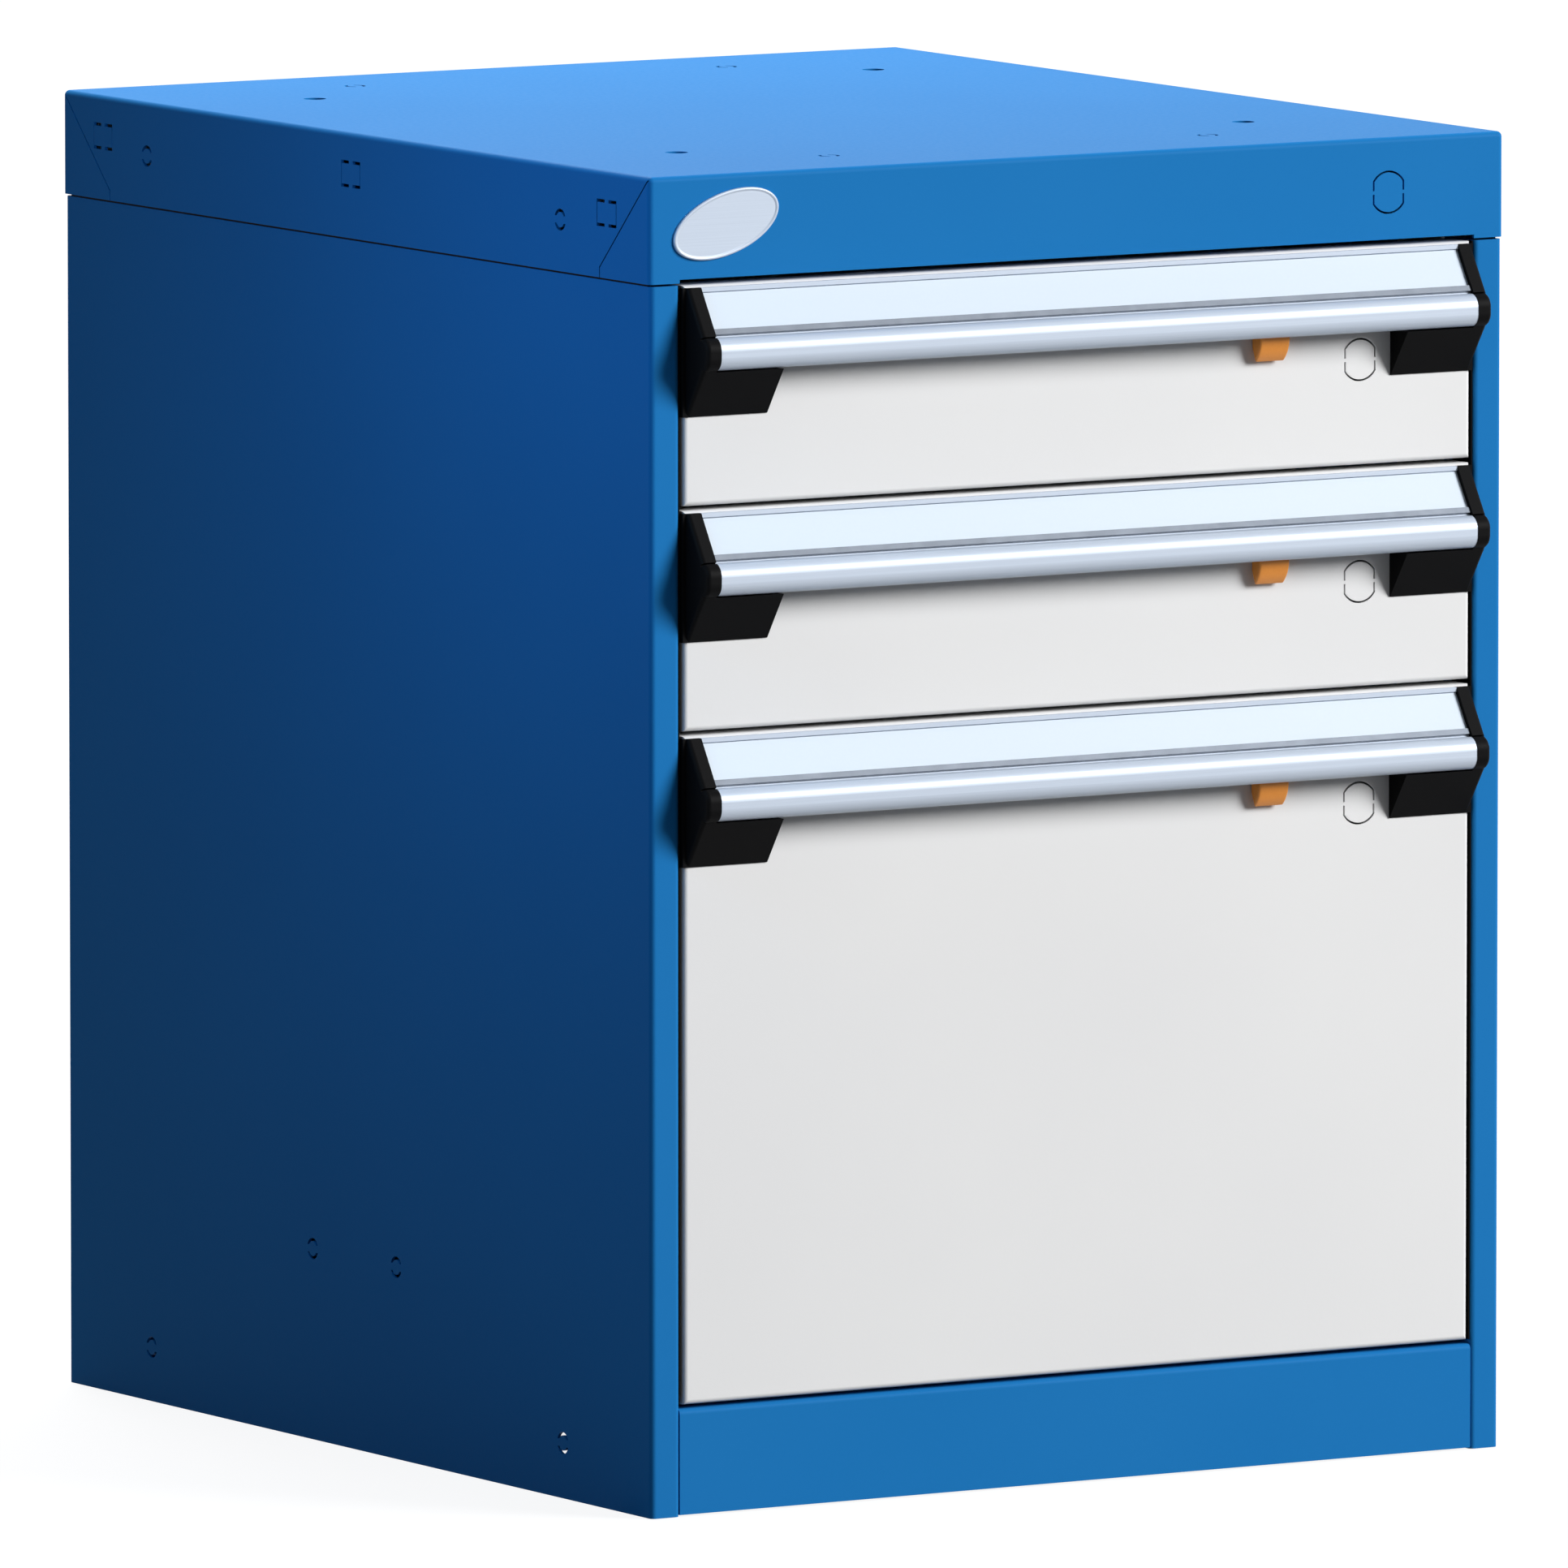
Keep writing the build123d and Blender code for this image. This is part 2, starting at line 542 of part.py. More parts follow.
def build_handle_bar(label, z_top):
    plate_back = label_floor + BAR_WALL
    grip_wide = GRIP_WIDTH - 2 * GRIP_INSET
    grip_high = GRIP_HEIGHT - 2 * GRIP_INSET
    bore_wide = grip_wide - 2 * BAR_WALL
    bore_high = grip_high - 2 * BAR_WALL
    mouth_out = GRIP_OUT - BAR_WALL / 2
    mouth_drop = GRIP_DROP + GRIP_HEIGHT / 2 - BAR_MOUTH_DROP
    with BuildPart() as handle_bar:
        with BuildSketch(handle_plane(-bar_half, z_top)):
            strip(plate_back, label_floor, 0, face_length + BAR_WALL)
            strip(plate_back, FACE_INSET, 0, LIP_TOP)
            strip(plate_back, FACE_INSET, foot_lip, foot_lip + LIP_FOOT)
            with Locations((GRIP_OUT, GRIP_DROP)):
                SlotOverall(grip_high, grip_wide, rotation=90)
                SlotOverall(bore_high, bore_wide, rotation=90, mode=Mode.SUBTRACT)
            with Locations((mouth_out / 2, BAR_MOUTH_DROP + mouth_drop / 2)):
                Rectangle(mouth_out, mouth_drop, mode=Mode.SUBTRACT)
            with Locations((BAR_WALL / 2, (HANDLE_TOP_DROP + HANDLE_FACE_DROP) / 2)):
                Rectangle(BAR_WALL, HANDLE_FACE_DROP - HANDLE_TOP_DROP)
            strip(label_floor, 0, LIP_TOP, foot_lip, mode=Mode.SUBTRACT)
            with Locations((-plate_back, HANDLE_FACE_DROP / 2)):
                Rectangle(2 * plate_back, 2 * HANDLE_FACE_DROP, mode=Mode.SUBTRACT)
        extrude(amount=2 * bar_half)
    save(handle_bar, label)


def build_label_strip(label, z_top):
    half_length = bar_half - LABEL_CLEARANCE
    with BuildPart() as label_strip:
        with BuildSketch(handle_plane(-half_length, z_top)):
            strip(
                label_floor,
                label_floor - LABEL_THICKNESS,
                LIP_TOP + LABEL_CLEARANCE,
                foot_lip - LABEL_CLEARANCE,
            )
        extrude(amount=2 * half_length)
    save(label_strip, label)


def build_end_cap(label, side, z_top):
    outer_plane = handle_plane(side * handle_half, z_top)
    wedge_slope = (WEDGE_TOP_OUT - WEDGE_FOOT_OUT) / (WEDGE_DROP - wedge_top_drop)
    face_end_drop = GRIP_DROP - GRIP_HEIGHT / 4
    face_end_out = HANDLE_FACE_OUT + (face_end_drop - HANDLE_FACE_DROP) * face_run / face_fall
    wedge_end_drop = GRIP_DROP + GRIP_HEIGHT / 4
    wedge_end_out = WEDGE_TOP_OUT + (wedge_top_drop - wedge_end_drop) * wedge_slope
    with BuildPart() as end_cap:
        with BuildSketch(outer_plane):
            with BuildLine():
                Polyline(
                    (0, HANDLE_TOP_DROP),
                    (HANDLE_TOP_OUT, HANDLE_TOP_DROP),
                    (face_end_out, face_end_drop),
                    (wedge_end_out, wedge_end_drop),
                    (WEDGE_FOOT_OUT, WEDGE_DROP),
                    (0, WEDGE_DROP),
                    close=True,
                )
            make_face()
            with Locations((GRIP_OUT, GRIP_DROP)):
                SlotOverall(GRIP_HEIGHT, GRIP_WIDTH, rotation=90)
        extrude(amount=-side * END_CAP_THICKNESS)
        with BuildSketch(outer_plane):
            with BuildLine():
                Polyline(
                    (0, wedge_top_drop),
                    (WEDGE_TOP_OUT, wedge_top_drop),
                    (WEDGE_FOOT_OUT, WEDGE_DROP),
                    (0, WEDGE_DROP),
                    close=True,
                )
            make_face()
        extrude(amount=-side * WEDGE_WIDTH)
        outer_face = end_cap.faces().sort_by(Axis.X)[0 if side < 0 else -1]
        between_ends = outer_face.edges().sort_by(Axis.Z)[1:-1]
        fillet(between_ends.sort_by(Axis.Y)[:-1], END_CAP_ROUND)
        with BuildSketch(outer_plane):
            strip(CAP_NOTCH_DEPTH, -CAP_NOTCH, face_length, face_length + CAP_NOTCH)
        extrude(amount=-side * END_CAP_THICKNESS, mode=Mode.SUBTRACT)
        guard_z = z_top - (HANDLE_TOP_DROP + WEDGE_DROP) / 2
        guard_height = WEDGE_DROP - HANDLE_TOP_DROP
        lip_start = handle_half - END_CAP_ROUND
        lip_end = front_half + GUARD_REACH
        with Locations((side * (lip_start + lip_end) / 2, front_y - GUARD_SHEET / 2, guard_z)):
            Box(lip_end - lip_start, GUARD_SHEET, guard_height)
        edge_wall = GUARD_REACH - GUARD_CLEARANCE
        with Locations((side * (lip_end - edge_wall / 2), front_y + GUARD_DEPTH / 2, guard_z)):
            Box(edge_wall, GUARD_DEPTH, guard_height)
    save(end_cap, label)


def build_latch_tab(label, z_top):
    tip = (TAB_TIP_OUT, TAB_TIP_DROP)
    bend = (TAB_REACH, TAB_BEND_DROP)
    stem_front = TAB_GAP + TAB_ROUND
    with BuildPart() as tab:
        with BuildSketch(handle_plane(latch_x - TAB_WIDTH / 2, z_top)):
            with BuildLine():
                Polyline(
                    tip,
                    (TAB_GAP, TAB_HEEL_DROP),
                    (TAB_GAP, TAB_TOP_DROP),
                    (TAB_REACH, TAB_TOP_DROP),
                    bend,
                )
                TangentArc(bend, tip, tangent=(0, 1))
            make_face()
        extrude(amount=TAB_WIDTH)
        side_faces = tab.faces().filter_by(Axis.X)
        fillet(side_faces.edges(), TAB_ROUND)
        with Locations((latch_x, front_y + (pad_back - stem_front) / 2, z_top - STEM_DROP)):
            Box(STEM_WIDTH, pad_back + stem_front, STEM_HEIGHT)
        with Locations((latch_x, front_y + (pad_front + pad_back) / 2, z_top - STEM_DROP)):
            Box(PAD_WIDTH, PAD_THICKNESS, PAD_HEIGHT)
    save(tab, label)


def build_latch_bolt(label, z_top):
    with BuildPart() as bolt:
        with Locations(((bolt_start + front_half) / 2, bolt_y, z_top - STEM_DROP)):
            Box(front_half - bolt_start, BOLT_THICKNESS, BOLT_HEIGHT)
        tip_edges = bolt.faces().sort_by(Axis.X)[-1].edges().filter_by(Axis.Z)
        chamfer(tip_edges.sort_by(Axis.Y)[-1], BOLT_BEVEL)
    save(bolt, label)


def build_latch_guides(label, z_top):
    stop_x = bolt_start - SPRING_LENGTH
    strap_out = bolt_back + LATCH_CLEARANCE + GUIDE_SHEET
    strap_high = passage_height + 2 * GUIDE_SHEET
    first_x = front_half - GUIDE_FROM_TIP - GUIDE_WIDTH
    with BuildPart() as guides:
        for guide_x in (first_x, first_x - GUIDE_PITCH):
            with BuildSketch(handle_plane(guide_x, z_top)):
                with Locations((-(FRONT_SHEET + strap_out) / 2, STEM_DROP)):
                    Rectangle(strap_out - FRONT_SHEET, strap_high)
                with Locations((-(FRONT_SHEET + strap_out) / 2 + GUIDE_SHEET, STEM_DROP)):
                    Rectangle(strap_out - FRONT_SHEET, passage_height, mode=Mode.SUBTRACT)
            extrude(amount=GUIDE_WIDTH)
        with BuildSketch(Plane.XY.offset(z_top - STEM_DROP - BOLT_HEIGHT / 2)):
            with Locations((stop_x, front_y + FRONT_SHEET)):
                Rectangle(GUIDE_WIDTH, GUIDE_SHEET, align=(Align.MAX, Align.MIN))
                Rectangle(GUIDE_SHEET, bolt_back - FRONT_SHEET, align=(Align.MAX, Align.MIN))
        extrude(amount=BOLT_HEIGHT)
    save(guides, label)


def build_latch_spring(label, z_top):
    start = bolt_start - SPRING_LENGTH + SPRING_CLEARANCE
    step = (SPRING_LENGTH - 2 * SPRING_CLEARANCE) / SPRING_FOLDS
    swing = BOLT_HEIGHT / 2 - SPRING_MARGIN
    half_strip = SPRING_STRIP / 2 * math.hypot(step, 2 * swing) / step
    middle = z_top - STEM_DROP
    folds = [(start + i * step, middle + swing * (-1) ** i) for i in range(SPRING_FOLDS + 1)]
    lower_side = [(x, z - half_strip) for x, z in folds]
    upper_side = [(x, z + half_strip) for x, z in reversed(folds)]
    with BuildPart() as spring:
        with BuildSketch(front_plane(bolt_y)):
            with BuildLine():
                Polyline(*lower_side, *upper_side, close=True)
            make_face()
        extrude(amount=BOLT_THICKNESS / 2, both=True)
    save(spring, label)


def build_drawer(name, z_bottom, z_top):
    rail_z = z_bottom + rail_rise
    build_rails(f"{name}_cabinet_rails", rail_z)
    build_carriages(f"{name}_carriages", rail_z)
    build_glides(f"{name}_glides", rail_z)
    build_rollers(f"{name}_rollers_front", inner_roller_x, front_roller_y, rail_z)
    build_rollers(f"{name}_rollers_rear", outer_roller_x, rear_roller_y, rail_z)
    build_runners(f"{name}_runners", rail_z)
    build_tray(f"{name}_tray", z_bottom, z_top)
    build_drawer_front(f"{name}_drawer_front", z_bottom, z_top)
    build_handle_bar(f"{name}_handle_bar", z_top)
    build_label_strip(f"{name}_label_strip", z_top)
    build_end_cap(f"{name}_end_cap_left", -1, z_top)
    build_end_cap(f"{name}_end_cap_right", 1, z_top)
    build_latch_tab(f"{name}_latch_tab", z_top)
    build_latch_bolt(f"{name}_latch_bolt", z_top)
    build_latch_guides(f"{name}_latch_guides", z_top)
    build_latch_spring(f"{name}_latch_spring", z_top)


os.makedirs("parts", exist_ok=True)

strikes = []
next_bottom = fronts_bottom
for drawer_name, drawer_units in DRAWERS.items():
    drawer_top = next_bottom + drawer_units * unit - FRONT_GAP
    build_drawer(drawer_name, next_bottom, drawer_top)
    strikes.append(drawer_top - STEM_DROP)
    next_bottom = drawer_top + FRONT_GAP

build_top_cap()
build_side_panel("side_panel_left", -1, [])
build_side_panel("side_panel_right", 1, strikes)
build_back_panel()
build_base_pan()
build_upright("upright_front_left", -1, upright_front)
build_upright("upright_front_right", 1, upright_front)
build_upright("upright_rear_left", -1, upright_rear)
build_upright("upright_rear_right", 1, upright_rear)
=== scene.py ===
import bmesh
import bpy
import json
import math
from mathutils import Matrix, Vector


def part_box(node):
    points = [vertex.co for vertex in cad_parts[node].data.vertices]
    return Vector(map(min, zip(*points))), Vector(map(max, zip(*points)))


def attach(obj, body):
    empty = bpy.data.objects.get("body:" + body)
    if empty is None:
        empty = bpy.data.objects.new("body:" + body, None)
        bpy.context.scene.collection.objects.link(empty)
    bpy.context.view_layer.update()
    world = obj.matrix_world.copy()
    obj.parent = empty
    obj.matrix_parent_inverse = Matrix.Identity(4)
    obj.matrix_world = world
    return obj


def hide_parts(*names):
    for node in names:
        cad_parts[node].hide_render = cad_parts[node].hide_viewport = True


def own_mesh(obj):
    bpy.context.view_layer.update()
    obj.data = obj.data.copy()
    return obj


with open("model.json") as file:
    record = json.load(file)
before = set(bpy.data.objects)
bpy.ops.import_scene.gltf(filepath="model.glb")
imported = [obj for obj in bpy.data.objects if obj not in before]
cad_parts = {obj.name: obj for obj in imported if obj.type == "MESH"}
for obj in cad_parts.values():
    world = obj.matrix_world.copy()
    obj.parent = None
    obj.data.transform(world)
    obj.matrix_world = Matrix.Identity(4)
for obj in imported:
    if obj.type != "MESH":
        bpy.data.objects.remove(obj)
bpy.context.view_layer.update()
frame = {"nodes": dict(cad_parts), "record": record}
nodes = frame["nodes"]
drawers = ("bottom", "middle", "top")
mm = 0.001


def linearColour(hexText):
    # sRGB hex to the linear colour that the shaders expect
    channels = [int(hexText[i:i + 2], 16) / 255 for i in (1, 3, 5)]
    return [c / 12.92 if c <= 0.04045 else ((c + 0.055) / 1.055) ** 2.4 for c in channels] + [1.0]


def addNode(tree, kind, settings=None, inputs=None):
    # one node with its settings, and its inputs as values or as links
    node = tree.nodes.new(kind)
    for name, value in (settings or {}).items():
        setattr(node, name, value)
    for socket, value in (inputs or {}).items():
        if isinstance(value, bpy.types.NodeSocket):
            tree.links.new(value, node.inputs[socket])
        else:
            node.inputs[socket].default_value = value
    return node


def startMaterial(name):
    material = bpy.data.materials.new(name)
    material.use_nodes = True
    material.node_tree.nodes.clear()
    return material, material.node_tree


def endMaterial(tree, shader):
    addNode(tree, "ShaderNodeOutputMaterial", inputs={"Surface": shader.outputs[0]})


# Powder-coated steel: cured in an oven, so it has no brush marks, a fine orange peel that breaks up
# highlights, and a faint cloudiness where the film is thicker.
powderCoat = {
    "peelMm": 2.2,  # real peel is about 1 mm, drawn coarser so that it shows
    "peelDepthMm": 0.02,
    "cloudMm": 140,
    "cloudRange": (0.3, 0.7),  # the part of the noise that makes the clouds
    "cloudShare": 0.5,
    "smoother": 0.04,  # what the peel takes from the roughness and adds to it
    "rougher": 0.06,
}


def powderCoatedSteel(name, colour, thinColour, roughness, specular):
    material, tree = startMaterial(name)
    place = addNode(tree, "ShaderNodeTexCoord")
    cloud = addNode(tree, "ShaderNodeTexNoise", inputs={
        "Vector": place.outputs["Object"], "Scale": 1 / (powderCoat["cloudMm"] * mm), "Detail": 3.0})
    cloudRange = addNode(tree, "ShaderNodeMapRange", inputs={
        "Value": cloud.outputs["Fac"], "From Min": powderCoat["cloudRange"][0],
        "From Max": powderCoat["cloudRange"][1], "To Max": powderCoat["cloudShare"]})
    tint = addNode(tree, "ShaderNodeMix", {"data_type": "RGBA"}, {
        0: cloudRange.outputs[0], 6: linearColour(colour), 7: linearColour(thinColour)})
    peel = addNode(tree, "ShaderNodeTexNoise", inputs={
        "Vector": place.outputs["Object"], "Scale": 1 / (powderCoat["peelMm"] * mm), "Detail": 1.5})
    bump = addNode(tree, "ShaderNodeBump", inputs={
        "Height": peel.outputs["Fac"], "Distance": powderCoat["peelDepthMm"] * mm, "Strength": 1.0})
    sheen = addNode(tree, "ShaderNodeMapRange", inputs={
        "Value": peel.outputs["Fac"], "To Min": roughness - powderCoat["smoother"],
        "To Max": roughness + powderCoat["rougher"]})
    shader = addNode(tree, "ShaderNodeBsdfPrincipled", inputs={
        "Base Color": tint.outputs[2], "Roughness": sheen.outputs[0],
        "Specular IOR Level": specular, "IOR": 1.5, "Normal": bump.outputs[0]})
    endMaterial(tree, shader)
    return material


# Zinc-plated steel: passivated sheet with soft cloudy patches and faint rolling lines along the strip.
zincPlate = {"patchMm": 9, "rollMm": 0.8, "rollLengthMm": 60, "roughness": (0.28, 0.48)}


def zincPlatedSteel(name, colour, darkColour):
    material, tree = startMaterial(name)
    place = addNode(tree, "ShaderNodeTexCoord")
    patch = addNode(tree, "ShaderNodeTexNoise", inputs={
        "Vector": place.outputs["Object"], "Scale": 1 / (zincPlate["patchMm"] * mm), "Detail": 4.0})
    tint = addNode(tree, "ShaderNodeMix", {"data_type": "RGBA"}, {
        0: patch.outputs["Fac"], 6: linearColour(colour), 7: linearColour(darkColour)})
    along = addNode(tree, "ShaderNodeMapping", inputs={
        "Vector": place.outputs["Object"],
        "Scale": [1 / (zincPlate["rollMm"] * mm), 1 / (zincPlate["rollLengthMm"] * mm),
                  1 / (zincPlate["rollMm"] * mm)]})
    roll = addNode(tree, "ShaderNodeTexNoise", inputs={"Vector": along.outputs[0], "Scale": 1.0})
    sheen = addNode(tree, "ShaderNodeMapRange", inputs={
        "Value": roll.outputs["Fac"], "To Min": zincPlate["roughness"][0],
        "To Max": zincPlate["roughness"][1]})
    shader = addNode(tree, "ShaderNodeBsdfPrincipled", inputs={
        "Base Color": tint.outputs[2], "Metallic": 1.0, "Roughness": sheen.outputs[0]})
    endMaterial(tree, shader)
    return material


# Extruded aluminium, etched and anodised: fine die lines along its length under a milky oxide film,
# which scatters most of the light and lets only some of the metal's own reflection through.
extrusion = {
    "lineMm": 0.7,
    "lineLengthMm": 180,
    "lineDepthMm": 0.006,
    "metalShare": 0.14,
    "roughness": (0.3, 0.42),
    "specular": 0.25,
}


def anodisedAluminium(name, colour, lineColour):
    material, tree = startMaterial(name)
    place = addNode(tree, "ShaderNodeTexCoord")
    along = addNode(tree, "ShaderNodeMapping", inputs={
        "Vector": place.outputs["Object"],
        "Scale": [1 / (extrusion["lineLengthMm"] * mm), 1 / (extrusion["lineMm"] * mm),
                  1 / (extrusion["lineMm"] * mm)]})
    lines = addNode(tree, "ShaderNodeTexNoise", inputs={
        "Vector": along.outputs[0], "Scale": 1.0, "Detail": 3.0})
    tint = addNode(tree, "ShaderNodeMix", {"data_type": "RGBA"}, {
        0: lines.outputs["Fac"], 6: linearColour(colour), 7: linearColour(lineColour)})
    bump = addNode(tree, "ShaderNodeBump", inputs={
        "Height": lines.outputs["Fac"], "Distance": extrusion["lineDepthMm"] * mm, "Strength": 1.0})
    sheen = addNode(tree, "ShaderNodeMapRange", inputs={
        "Value": lines.outputs["Fac"], "To Min": extrusion["roughness"][0],
        "To Max": extrusion["roughness"][1]})
    shader = addNode(tree, "ShaderNodeBsdfPrincipled", inputs={
        "Base Color": tint.outputs[2], "Metallic": extrusion["metalShare"], "Roughness": sheen.outputs[0],
        "Specular IOR Level": extrusion["specular"], "Normal": bump.outputs[0]})
    endMaterial(tree, shader)
    return material


# Card in a clear film: matt white paper fibre under a thin glossy cover.
coverCard = {"fibreMm": 1.4, "fibreShare": 0.35, "roughness": 0.6, "filmWeight": 0.6, "filmRoughness": 0.18}


def coveredCard(name, colour, fibreColour):
    material, tree = startMaterial(name)
    place = addNode(tree, "ShaderNodeTexCoord")
    fibre = addNode(tree, "ShaderNodeTexNoise", inputs={
        "Vector": place.outputs["Object"], "Scale": 1 / (coverCard["fibreMm"] * mm), "Detail": 4.0})
    share = addNode(tree, "ShaderNodeMapRange", inputs={
        "Value": fibre.outputs["Fac"], "To Max": coverCard["fibreShare"]})
    tint = addNode(tree, "ShaderNodeMix", {"data_type": "RGBA"}, {
        0: share.outputs[0], 6: linearColour(colour), 7: linearColour(fibreColour)})
    shader = addNode(tree, "ShaderNodeBsdfPrincipled", inputs={
        "Base Color": tint.outputs[2], "Roughness": coverCard["roughness"],
        "Coat Weight": coverCard["filmWeight"], "Coat Roughness": coverCard["filmRoughness"]})
    endMaterial(tree, shader)
    return material


# Moulded plastic: spark-eroded mould texture gives a fine even grain with a soft sheen.
mouldGrain = {"smoother": 0.05, "rougher": 0.08}


def mouldedPlastic(name, colour, grainColour, roughness, specular, grainMm, grainDepthMm):
    material, tree = startMaterial(name)
    place = addNode(tree, "ShaderNodeTexCoord")
    grain = addNode(tree, "ShaderNodeTexNoise", inputs={
        "Vector": place.outputs["Object"], "Scale": 1 / (grainMm * mm), "Detail": 2.0})
    tint = addNode(tree, "ShaderNodeMix", {"data_type": "RGBA"}, {
        0: grain.outputs["Fac"], 6: linearColour(colour), 7: linearColour(grainColour)})
    bump = addNode(tree, "ShaderNodeBump", inputs={
        "Height": grain.outputs["Fac"], "Distance": grainDepthMm * mm, "Strength": 1.0})
    sheen = addNode(tree, "ShaderNodeMapRange", inputs={
        "Value": grain.outputs["Fac"], "To Min": roughness - mouldGrain["smoother"],
        "To Max": roughness + mouldGrain["rougher"]})
    shader = addNode(tree, "ShaderNodeBsdfPrincipled", inputs={
        "Base Color": tint.outputs[2], "Roughness": sheen.outputs[0], "IOR": 1.5,
        "Specular IOR Level": specular, "Normal": bump.outputs[0]})
    endMaterial(tree, shader)
    return material


finishes = {
    "blue_powder_coat": powderCoatedSteel(
        "bluePowderCoatedSteel", "#1D73B5", "#2277B9", roughness=0.42, specular=0.018),
    "grey_powder_coat": powderCoatedSteel(
        "greyPowderCoatedSteel", "#E4E4E4", "#DFDFE0", roughness=0.5, specular=0.1),
    "zinc_plated_steel": zincPlatedSteel("zincPlatedSteel", "#C6C9CC", "#AEB3B8"),
    # the spring steel's grey is darkened as painted shade, so that the label groove strips read as the
    # groove's shadow; the hidden wave springs share it
    "spring_steel": zincPlatedSteel("springSteelAndGrooveShade", "#70767F", "#5A6068"),
    "anodised_aluminium": anodisedAluminium("satinAnodisedAluminium", "#C8D2E0", "#B6C1D0"),
    "label_card": coveredCard("labelCardUnderFilm", "#CFDBE7", "#C6D3E0"),
    "black_plastic": mouldedPlastic(
        "blackMouldedPolyamide", "#070708", "#0D0D0E", roughness=0.5, specular=0.04,
        grainMm=0.8, grainDepthMm=0.03),
    "orange_plastic": mouldedPlastic(
        "orangeMouldedAcetal", "#F09A40", "#E89036", roughness=0.38, specular=0.4,
        grainMm=1.2, grainDepthMm=0.01),
    "nylon": mouldedPlastic(
        "naturalNylon", "#E2DFD4", "#D6D2C4", roughness=0.42, specular=0.4,
        grainMm=1.5, grainDepthMm=0.01),
}
for part in frame["record"]["subparts"]:
    node = nodes[part["node"]]
    node.data.materials.clear()
    node.data.materials.append(finishes[part["material_slot"]])
print("materials:", len(finishes))


def finishedPiece(name, mesh, body, slotName):
    piece = bpy.data.objects.new(name, mesh)
    bpy.context.scene.collection.objects.link(piece)
    mesh.materials.clear()
    mesh.materials.append(finishes[slotName])
    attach(piece, body)
    return piece


def loftedMesh(name, rings, smooth):
    # closed skin over rings of points, with a cap at each end
    mesh = bpy.data.meshes.new(name)
    shape = bmesh.new()
    loops = [[shape.verts.new(point) for point in ring] for ring in rings]
    for lower, upper in zip(loops, loops[1:]):
        for i in range(len(lower)):
            j = (i + 1) % len(lower)
            shape.faces.new((lower[i], lower[j], upper[j], upper[i])).smooth = smooth
    shape.faces.new(loops[0])
    shape.faces.new(loops[-1])
    bmesh.ops.recalc_face_normals(shape, faces=shape.faces)
    shape.to_mesh(mesh)
    shape.free()
    return mesh


# Blank oval plate set at a slant on the cap's front: a flat field inside a rounded rim.
blankPlate = {
    "fromSideMm": 39.9,
    "belowTopMm": 22.6,
    "widthMm": 57.3,
    "heightMm": 28.3,
    "slantDeg": 17.9,
    "rimMm": 1.6,
    "thicknessMm": 1.4,
    "fieldDropMm": 0.5,
    "rimShape": ((0, 0), (0, 0.55), (0.12, 0.82), (0.4, 1), (0.75, 0.95)),  # shares of rim and thickness
    "fieldEdge": ((1, 0.8), (1.15, 1)),  # shares of rim and of the field's drop
    "segments": 96,
}


def buildBlankPlate():
    capLow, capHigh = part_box("top_cap")
    centre = Vector((capLow.x + blankPlate["fromSideMm"] * mm, capLow.y,
                     capHigh.z - blankPlate["belowTopMm"] * mm))
    halfWide, halfHigh = blankPlate["widthMm"] / 2, blankPlate["heightMm"] / 2
    rim, thick, drop = blankPlate["rimMm"], blankPlate["thicknessMm"], blankPlate["fieldDropMm"]
    # inset from the edge and height above the cap, from the foot over the rim to the field
    profile = [(rim * inset, thick * height) for inset, height in blankPlate["rimShape"]]
    profile += [(rim * inset, thick - drop * depth) for inset, depth in blankPlate["fieldEdge"]]
    slant = math.radians(blankPlate["slantDeg"])
    rings = []
    for inset, height in profile:
        ring = []
        for i in range(blankPlate["segments"]):
            angle = 2 * math.pi * i / blankPlate["segments"]
            long = (halfWide - inset) * math.cos(angle)
            short = (halfHigh - inset) * math.sin(angle)
            across = long * math.cos(slant) - short * math.sin(slant)
            rise = long * math.sin(slant) + short * math.cos(slant)
            ring.append(centre + Vector((across, -height, rise)) * mm)
        rings.append(ring)
    mesh = loftedMesh("blankPlate", rings, True)
    finishedPiece("blankPlate", mesh, "housing", "anodised_aluminium")


buildBlankPlate()
print("blank plate done")

# Black strip in each side's seam under the cap, set back from the panel's face: painted shade, a made-up
# dark sheet that keeps the seam dark and keeps light from showing through it.
seamShadeStrip = {"setBackMm": 0.95, "widthMm": 0.5, "endMm": 4.0}

# Black strip on each post's inner face, in the gap beside the drawer fronts: painted shade, a made-up dark
# sheet that keeps the gap beside the fronts dark. It is a guess too, and keeps the gap as dark as the
# photograph shows it.
gapShadeStrip = {
    "gapMm": 1.95,  # from the drawer front's edge to the post, as in the solids
    "setBackMm": 1.2,
    "depthMm": 16.0,
    "thicknessMm": 0.5,
}


def buildStrip(name, xs, ys, zs):
    # plain black strip between two corners, drawn as painted shade in the seams and gaps
    rings = [[Vector((xs[0], ys[0], z)), Vector((xs[1], ys[0], z)),
              Vector((xs[1], ys[1], z)), Vector((xs[0], ys[1], z))] for z in zs]
    finishedPiece(name, loftedMesh(name, rings, False), "housing", "black_plastic")


def buildSeamShadeStrip(side):
    low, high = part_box(f"side_panel_{side}")
    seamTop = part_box("top_cap")[0].z
    face, inward = (low.x, 1) if side == "left" else (high.x, -1)
    outer = face + inward * seamShadeStrip["setBackMm"] * mm
    inner = outer + inward * seamShadeStrip["widthMm"] * mm
    ends = (low.y + seamShadeStrip["endMm"] * mm, high.y - seamShadeStrip["endMm"] * mm)
    buildStrip(f"{side}SeamShadeStrip", (outer, inner), ends, (high.z, seamTop))


